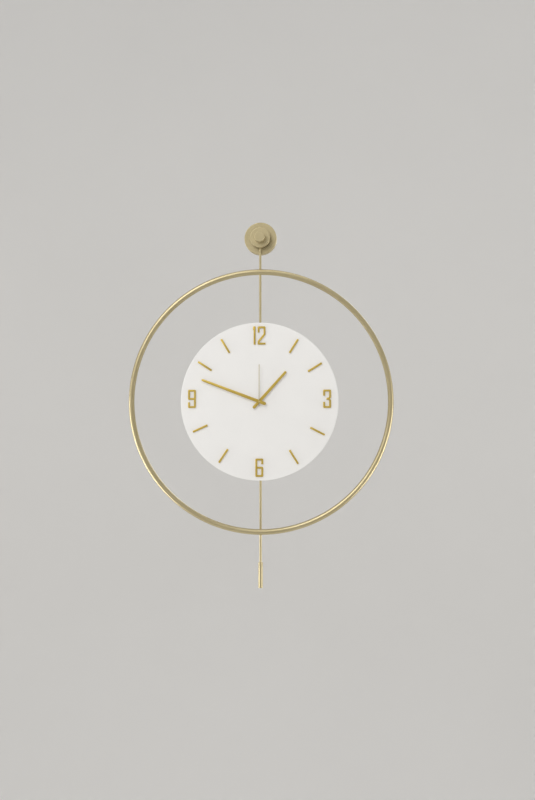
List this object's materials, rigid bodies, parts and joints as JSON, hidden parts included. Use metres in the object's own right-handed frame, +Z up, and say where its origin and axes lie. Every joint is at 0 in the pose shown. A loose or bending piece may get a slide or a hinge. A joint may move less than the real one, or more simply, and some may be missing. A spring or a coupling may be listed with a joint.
{
  "type": "pendulum wall clock",
  "caption": "Modern pendulum wall clock: a round dial inside a wide thin ring, hung by a rod from a stepped wall knob, with a short cylindrical pendulum bob below.",
  "frame": {"origin": "centre of the wall plate's back face, on the wall", "axes": "+X right seen from the front, +Y into the wall, +Z up"},
  "size_m": [0.5, 0.0471, 0.69],
  "materials": {
    "gold_metal": "champagne gold, satin",
    "gilt_metal": "warm gilt, satin",
    "white_dial": "powder-coated white, matt",
    "zinc_plated_steel": "bright zinc",
    "black_plastic": "moulded, matt",
    "natural_plastic": "moulded, natural",
    "copper_wire": "enamelled winding",
    "soft_iron": "laminated",
    "board_green": "circuit board",
    "nickel": "nickel plated",
    "magnet": "sintered magnet",
    "cell_jacket": "printed sleeve, plain",
    "steel_pin": "bright steel"
  },
  "bodies": {
    "wall_knob": {"wall_plate": "gold_metal", "hanging_peg": "gold_metal", "peg_screw": "zinc_plated_steel", "retaining_disc": "gold_metal", "cap_nut": "gold_metal"},
    "clock_body": {"hanger_eye": "gold_metal", "upper_rod": "gold_metal", "ring_tube": "gold_metal", "ring_set_screw": "zinc_plated_steel", "dial_plate": "white_dial", "numeral_12": "gilt_metal", "numeral_3": "gilt_metal", "numeral_6": "gilt_metal", "numeral_9": "gilt_metal", "hour_markers": "gilt_metal", "rod_anchor": "zinc_plated_steel", "anchor_screws": "zinc_plated_steel", "rod_set_screw": "zinc_plated_steel", "movement_case": "black_plastic", "movement_cover": "black_plastic", "cover_screws": "zinc_plated_steel", "movement_screws": "zinc_plated_steel", "circuit_board": "board_green", "quartz_crystal": "nickel", "stator": "soft_iron", "coil_bobbin": "natural_plastic", "coil_winding": "copper_wire", "battery_contact_plus": "nickel", "battery_contact_minus": "nickel", "pendulum_coil": "copper_wire", "pendulum_pin": "steel_pin", "pin_clip": "steel_pin"},
    "second_train": {"second_hand": "gilt_metal", "second_wheel": "natural_plastic"},
    "third_gear": {"third_wheel": "natural_plastic"},
    "centre_gear": {"centre_wheel": "natural_plastic"},
    "intermediate_gear": {"intermediate_wheel": "natural_plastic"},
    "rotor_gear": {"rotor": "magnet"},
    "minute_train": {"minute_hand": "gilt_metal", "cannon_pinion": "natural_plastic"},
    "hour_train": {"hour_hand": "gilt_metal", "hour_wheel": "natural_plastic"},
    "setting_gear": {"minute_wheel": "natural_plastic", "set_knob": "black_plastic"},
    "battery": {"battery_cell": "cell_jacket"},
    "pendulum": {"pendulum_lever": "black_plastic", "pendulum_magnet": "magnet", "pendulum_set_screw": "zinc_plated_steel", "pendulum_rod": "gold_metal", "pendulum_weight": "gold_metal"}
  },
  "joints": [
    {"name": "hang_swing", "type": "hinge", "parent": "wall_knob", "child": "clock_body", "pos_m": [0, -0.01625, 0], "axis": [0, 1, 0], "range_deg": [-15, 15]},
    {"name": "second_turn", "type": "hinge", "parent": "clock_body", "child": "second_train", "pos_m": [0, -0.03, -0.309], "axis": [0, 1, 0], "continuous": true},
    {"name": "intermediate_turn", "type": "hinge", "parent": "clock_body", "child": "intermediate_gear", "pos_m": [0.01031, -0.03, -0.31495], "axis": [0, 1, 0], "continuous": true},
    {"name": "rotor_turn", "type": "hinge", "parent": "clock_body", "child": "rotor_gear", "pos_m": [0.01893, -0.03, -0.31809], "axis": [0, 1, 0], "continuous": true},
    {"name": "third_turn", "type": "hinge", "parent": "clock_body", "child": "third_gear", "pos_m": [-0.0106, -0.03, -0.31512], "axis": [0, 1, 0], "continuous": true},
    {"name": "centre_turn", "type": "hinge", "parent": "clock_body", "child": "centre_gear", "pos_m": [0, -0.0307, -0.309], "axis": [0, 1, 0], "continuous": true},
    {"name": "minute_turn", "type": "hinge", "parent": "clock_body", "child": "minute_train", "pos_m": [0, -0.036, -0.309], "axis": [0, 1, 0], "continuous": true},
    {"name": "hour_turn", "type": "hinge", "parent": "clock_body", "child": "hour_train", "pos_m": [0, -0.036, -0.309], "axis": [0, 1, 0], "continuous": true},
    {"name": "setting_turn", "type": "hinge", "parent": "clock_body", "child": "setting_gear", "pos_m": [0, -0.028, -0.2964], "axis": [0, 1, 0], "continuous": true},
    {"name": "pendulum_swing", "type": "hinge", "parent": "clock_body", "child": "pendulum", "pos_m": [0, -0.0124, -0.361], "axis": [0, 1, 0], "range_deg": [-6, 6]},
    {"name": "battery_slide", "type": "slide", "parent": "clock_body", "child": "battery", "axis": [0, 1, 0], "range_m": [0, 0.022]}
  ],
  "couplings": [
    {"joint": "intermediate_turn", "follows": "second_turn", "ratio": -6},
    {"joint": "rotor_turn", "follows": "second_turn", "ratio": 30},
    {"joint": "third_turn", "follows": "second_turn", "ratio": -0.13333},
    {"joint": "centre_turn", "follows": "second_turn", "ratio": 0.016667},
    {"joint": "hour_turn", "follows": "minute_turn", "ratio": 0.083333},
    {"joint": "setting_turn", "follows": "minute_turn", "ratio": -0.33333}
  ]
}
